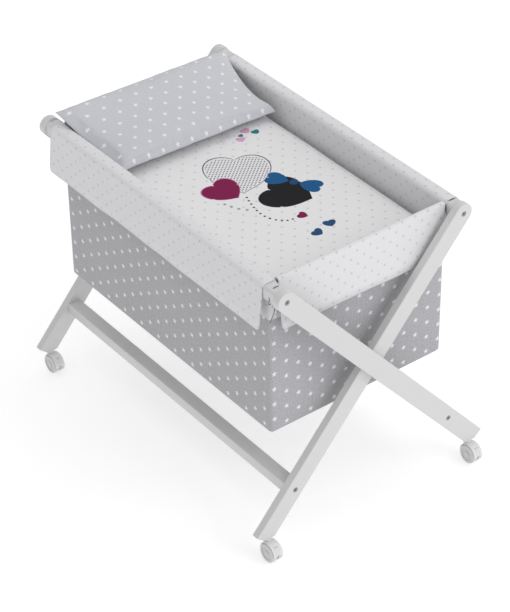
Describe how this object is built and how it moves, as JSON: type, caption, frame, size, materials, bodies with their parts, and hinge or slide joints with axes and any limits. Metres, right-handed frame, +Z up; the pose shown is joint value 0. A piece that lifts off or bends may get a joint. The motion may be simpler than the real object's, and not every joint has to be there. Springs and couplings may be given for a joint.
{
  "type": "bassinet on stand",
  "caption": "Small bassinet with a fabric basket, lining, quilt and pillow hung between the rails of a folding X-shaped wooden stand on twin-wheel castors.",
  "frame": {"origin": "on the floor, at the middle of the bounding box", "axes": "+Z up, +Y from the foot end to the head end where the pillow lies, +X to the right seen from the foot end"},
  "size_m": [0.6758, 0.9952, 0.8009],
  "materials": {
    "white_wood": "white lacquer, satin",
    "bolt_steel": "zinc plated",
    "bare_beech": "bare",
    "castor_plastic": "moulded",
    "castor_wheel": "moulded",
    "grey_star_fabric": "woven, printed with small white stars",
    "white_star_fabric": "woven, printed with small grey stars",
    "pillow_fabric": "woven, printed with white stars",
    "quilt_fabric": "cotton, printed",
    "mattress_cover": "knitted cover",
    "board": "plain"
  },
  "bodies": {
    "left_frame": {"left_frame_near_leg": "white_wood", "left_frame_far_leg": "white_wood", "left_frame_rail": "white_wood", "left_frame_stretcher": "white_wood", "left_frame_bolts": "bolt_steel", "left_frame_barrel_nuts": "bolt_steel", "left_frame_dowels": "bare_beech", "left_frame_castor_sleeves": "castor_plastic", "pivot_bolts": "bolt_steel", "pivot_washers": "castor_plastic", "near_pivot_insert": "bolt_steel", "basket": "grey_star_fabric", "lining": "white_star_fabric", "left_flap": "white_star_fabric", "right_flap": "white_star_fabric", "foot_flap": "white_star_fabric", "head_flap": "white_star_fabric"},
    "right_frame": {"right_frame_near_leg": "white_wood", "right_frame_far_leg": "white_wood", "right_frame_rail": "white_wood", "right_frame_stretcher": "white_wood", "right_frame_bolts": "bolt_steel", "right_frame_barrel_nuts": "bolt_steel", "right_frame_dowels": "bare_beech", "right_frame_castor_sleeves": "castor_plastic", "far_pivot_insert": "bolt_steel"},
    "castor_near_right": {"castor_near_right_hood": "castor_plastic", "castor_near_right_stem": "bolt_steel", "castor_near_right_axle": "bolt_steel"},
    "castor_near_right_left_wheel": {"castor_near_right_left_wheel": "castor_wheel"},
    "castor_near_right_right_wheel": {"castor_near_right_right_wheel": "castor_wheel"},
    "castor_near_right_brake": {"castor_near_right_brake": "castor_plastic"},
    "castor_near_left": {"castor_near_left_hood": "castor_plastic", "castor_near_left_stem": "bolt_steel", "castor_near_left_axle": "bolt_steel"},
    "castor_near_left_left_wheel": {"castor_near_left_left_wheel": "castor_wheel"},
    "castor_near_left_right_wheel": {"castor_near_left_right_wheel": "castor_wheel"},
    "castor_near_left_brake": {"castor_near_left_brake": "castor_plastic"},
    "castor_far_right": {"castor_far_right_hood": "castor_plastic", "castor_far_right_stem": "bolt_steel", "castor_far_right_axle": "bolt_steel"},
    "castor_far_right_left_wheel": {"castor_far_right_left_wheel": "castor_wheel"},
    "castor_far_right_right_wheel": {"castor_far_right_right_wheel": "castor_wheel"},
    "castor_far_right_brake": {"castor_far_right_brake": "castor_plastic"},
    "castor_far_left": {"castor_far_left_hood": "castor_plastic", "castor_far_left_stem": "bolt_steel", "castor_far_left_axle": "bolt_steel"},
    "castor_far_left_left_wheel": {"castor_far_left_left_wheel": "castor_wheel"},
    "castor_far_left_right_wheel": {"castor_far_left_right_wheel": "castor_wheel"},
    "castor_far_left_brake": {"castor_far_left_brake": "castor_plastic"},
    "base_board": {"base_board": "board"},
    "mattress": {"mattress": "mattress_cover"},
    "quilt": {"quilt": "quilt_fabric"},
    "pillow": {"pillow": "pillow_fabric"}
  },
  "joints": [
    {"name": "fold", "type": "hinge", "parent": "left_frame", "child": "right_frame", "pos_m": [0, 0, 0.42766], "axis": [0, -1, 0], "range_deg": [0, 60], "deforming": ["basket", "lining", "left_flap", "right_flap", "foot_flap", "head_flap", "base_board", "mattress", "quilt", "pillow"]},
    {"name": "castor_near_right_swivel", "type": "hinge", "parent": "left_frame", "child": "castor_near_right", "pos_m": [0.30224, -0.4532, 0.058], "axis": [0, 0, 1], "continuous": true},
    {"name": "castor_near_right_left_roll", "type": "hinge", "parent": "castor_near_right", "child": "castor_near_right_left_wheel", "pos_m": [0.30224, -0.4692, 0.0245], "axis": [1, 0, 0], "continuous": true},
    {"name": "castor_near_right_right_roll", "type": "hinge", "parent": "castor_near_right", "child": "castor_near_right_right_wheel", "pos_m": [0.30224, -0.4692, 0.0245], "axis": [1, 0, 0], "continuous": true},
    {"name": "castor_near_right_brake_press", "type": "hinge", "parent": "castor_near_right", "child": "castor_near_right_brake", "pos_m": [0.30224, -0.4692, 0.0245], "axis": [1, 0, 0], "range_deg": [0, 8]},
    {"name": "castor_near_left_swivel", "type": "hinge", "parent": "right_frame", "child": "castor_near_left", "pos_m": [-0.30224, -0.4327, 0.058], "axis": [0, 0, 1], "continuous": true},
    {"name": "castor_near_left_left_roll", "type": "hinge", "parent": "castor_near_left", "child": "castor_near_left_left_wheel", "pos_m": [-0.30224, -0.4487, 0.0245], "axis": [1, 0, 0], "continuous": true},
    {"name": "castor_near_left_right_roll", "type": "hinge", "parent": "castor_near_left", "child": "castor_near_left_right_wheel", "pos_m": [-0.30224, -0.4487, 0.0245], "axis": [1, 0, 0], "continuous": true},
    {"name": "castor_near_left_brake_press", "type": "hinge", "parent": "castor_near_left", "child": "castor_near_left_brake", "pos_m": [-0.30224, -0.4487, 0.0245], "axis": [1, 0, 0], "range_deg": [0, 8]},
    {"name": "castor_far_right_swivel", "type": "hinge", "parent": "left_frame", "child": "castor_far_right", "pos_m": [0.30224, 0.4663, 0.058], "axis": [0, 0, 1], "continuous": true},
    {"name": "castor_far_right_left_roll", "type": "hinge", "parent": "castor_far_right", "child": "castor_far_right_left_wheel", "pos_m": [0.30224, 0.4503, 0.0245], "axis": [1, 0, 0], "continuous": true},
    {"name": "castor_far_right_right_roll", "type": "hinge", "parent": "castor_far_right", "child": "castor_far_right_right_wheel", "pos_m": [0.30224, 0.4503, 0.0245], "axis": [1, 0, 0], "continuous": true},
    {"name": "castor_far_right_brake_press", "type": "hinge", "parent": "castor_far_right", "child": "castor_far_right_brake", "pos_m": [0.30224, 0.4503, 0.0245], "axis": [1, 0, 0], "range_deg": [0, 8]},
    {"name": "castor_far_left_swivel", "type": "hinge", "parent": "right_frame", "child": "castor_far_left", "pos_m": [-0.30224, 0.4868, 0.058], "axis": [0, 0, 1], "continuous": true},
    {"name": "castor_far_left_left_roll", "type": "hinge", "parent": "castor_far_left", "child": "castor_far_left_left_wheel", "pos_m": [-0.30224, 0.4708, 0.0245], "axis": [1, 0, 0], "continuous": true},
    {"name": "castor_far_left_right_roll", "type": "hinge", "parent": "castor_far_left", "child": "castor_far_left_right_wheel", "pos_m": [-0.30224, 0.4708, 0.0245], "axis": [1, 0, 0], "continuous": true},
    {"name": "castor_far_left_brake_press", "type": "hinge", "parent": "castor_far_left", "child": "castor_far_left_brake", "pos_m": [-0.30224, 0.4708, 0.0245], "axis": [1, 0, 0], "range_deg": [0, 8]},
    {"name": "base_board_lift", "type": "slide", "parent": "left_frame", "child": "base_board", "axis": [0, 0, 1], "range_m": [0, 0.3]},
    {"name": "mattress_lift", "type": "slide", "parent": "base_board", "child": "mattress", "axis": [0, 0, 1], "range_m": [0, 0.3]},
    {"name": "quilt_lift", "type": "slide", "parent": "mattress", "child": "quilt", "axis": [0, 0, 1], "range_m": [0, 0.25]},
    {"name": "pillow_lift", "type": "slide", "parent": "quilt", "child": "pillow", "axis": [0, 0, 1], "range_m": [0, 0.25]}
  ]
}
